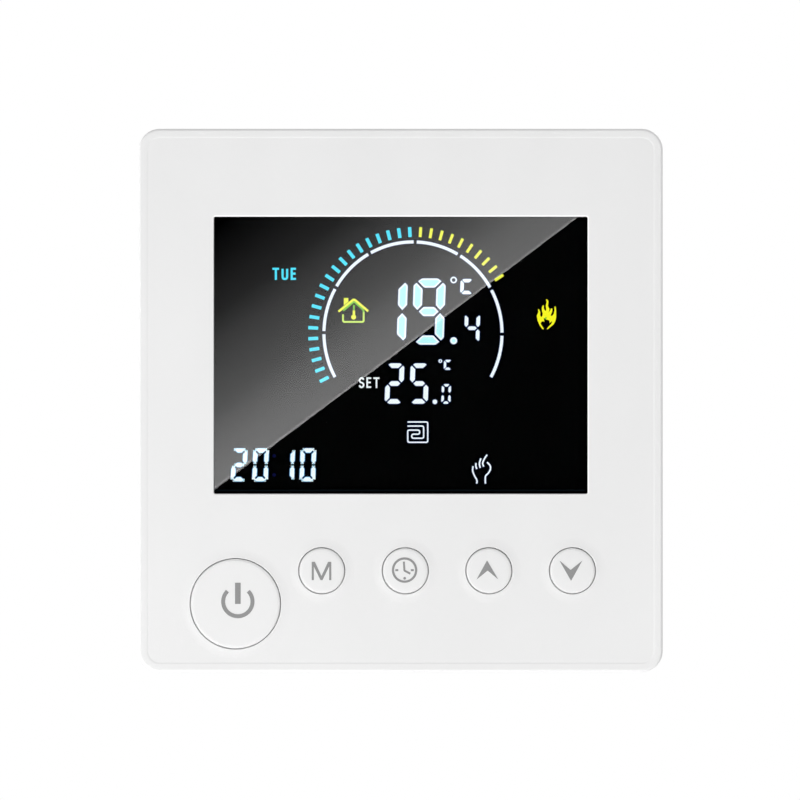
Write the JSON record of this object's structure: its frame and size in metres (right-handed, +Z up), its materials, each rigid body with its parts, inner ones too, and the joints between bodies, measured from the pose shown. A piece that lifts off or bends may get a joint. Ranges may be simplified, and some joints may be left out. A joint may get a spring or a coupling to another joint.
{
  "type": "wall thermostat",
  "caption": "Square flush-mounted room thermostat with a colour display, round push buttons below it, and a terminal box that sinks into the wall.",
  "frame": {"origin": "on the wall's surface, midway between the two wall screws", "axes": "+Z up, +Y into the wall, the display faces -Y, +X to the right as seen from the room"},
  "size_m": [0.09, 0.0438, 0.0932],
  "materials": {
    "white_housing": "fine satin moulded",
    "button_plastic": "fine satin moulded",
    "clear_lens": "polished",
    "display_glass": "polished",
    "holder_plastic": "satin",
    "light_guide": "polished",
    "reflector_film": "satin",
    "circuit_board": "satin solder mask",
    "connector_rubber": "satin",
    "dark_plastic": "satin",
    "bright_steel": "zinc plated",
    "clamp_brass": "satin",
    "relay_case": "satin",
    "capacitor_case": "satin",
    "capacitor_sleeve": "satin",
    "disc_coating": "satin",
    "sensor_epoxy": "satin",
    "ferrite": "matte",
    "winding_tape": "satin",
    "terminal_plastic": "satin"
  },
  "bodies": {
    "rear_base": {"board_pins": "dark_plastic", "filter_capacitor": "capacitor_case", "fuse": "dark_plastic", "inner_cover": "white_housing", "inner_cover_screw_1": "bright_steel", "inner_cover_screw_2": "bright_steel", "large_capacitor": "capacitor_sleeve", "power_board": "circuit_board", "rear_housing": "white_housing", "relay": "relay_case", "small_capacitor": "capacitor_sleeve", "surge_disc": "disc_coating", "terminal_block": "terminal_plastic", "terminal_clamp_1": "clamp_brass", "terminal_clamp_2": "clamp_brass", "terminal_clamp_3": "clamp_brass", "terminal_clamp_4": "clamp_brass", "terminal_clamp_5": "clamp_brass", "terminal_clamp_6": "clamp_brass", "terminal_screw_1": "bright_steel", "terminal_screw_2": "bright_steel", "terminal_screw_3": "bright_steel", "terminal_screw_4": "bright_steel", "terminal_screw_5": "bright_steel", "terminal_screw_6": "bright_steel", "transformer_core": "ferrite", "transformer_winding": "winding_tape", "wall_screw_left": "bright_steel", "wall_screw_right": "bright_steel"},
    "front_assembly": {"backlight_guide": "light_guide", "backlight_led_strip": "circuit_board", "backlight_reflector": "reflector_film", "board_socket": "dark_plastic", "clock_switch": "dark_plastic", "controller_chip": "dark_plastic", "display_board": "circuit_board", "display_board_screw_1": "bright_steel", "display_board_screw_2": "bright_steel", "down_switch": "dark_plastic", "front_cover": "white_housing", "lcd_connector": "connector_rubber", "lcd_holder": "holder_plastic", "lcd_panel": "display_glass", "memory_cell": "bright_steel", "memory_cell_strap": "bright_steel", "mode_switch": "dark_plastic", "power_switch": "dark_plastic", "room_sensor": "sensor_epoxy", "up_switch": "dark_plastic", "window_lens": "clear_lens"},
    "power_key": {"power_button": "button_plastic", "power_plunger": "dark_plastic"},
    "mode_key": {"mode_button": "button_plastic", "mode_plunger": "dark_plastic"},
    "clock_key": {"clock_button": "button_plastic", "clock_plunger": "dark_plastic"},
    "up_key": {"up_button": "button_plastic", "up_plunger": "dark_plastic"},
    "down_key": {"down_button": "button_plastic", "down_plunger": "dark_plastic"}
  },
  "joints": [
    {"name": "front_release", "type": "slide", "parent": "rear_base", "child": "front_assembly", "axis": [0, -1, 0], "range_m": [0, 0.025]},
    {"name": "power_press", "type": "slide", "parent": "front_assembly", "child": "power_key", "axis": [0, 1, 0], "range_m": [0, 0.0004], "stiffness_N_per_m": 1000, "springref_m": -0.0006},
    {"name": "mode_press", "type": "slide", "parent": "front_assembly", "child": "mode_key", "axis": [0, 1, 0], "range_m": [0, 0.0004], "stiffness_N_per_m": 1000, "springref_m": -0.0006},
    {"name": "clock_press", "type": "slide", "parent": "front_assembly", "child": "clock_key", "axis": [0, 1, 0], "range_m": [0, 0.0004], "stiffness_N_per_m": 1000, "springref_m": -0.0006},
    {"name": "up_press", "type": "slide", "parent": "front_assembly", "child": "up_key", "axis": [0, 1, 0], "range_m": [0, 0.0004], "stiffness_N_per_m": 1000, "springref_m": -0.0006},
    {"name": "down_press", "type": "slide", "parent": "front_assembly", "child": "down_key", "axis": [0, 1, 0], "range_m": [0, 0.0004], "stiffness_N_per_m": 1000, "springref_m": -0.0006}
  ]
}
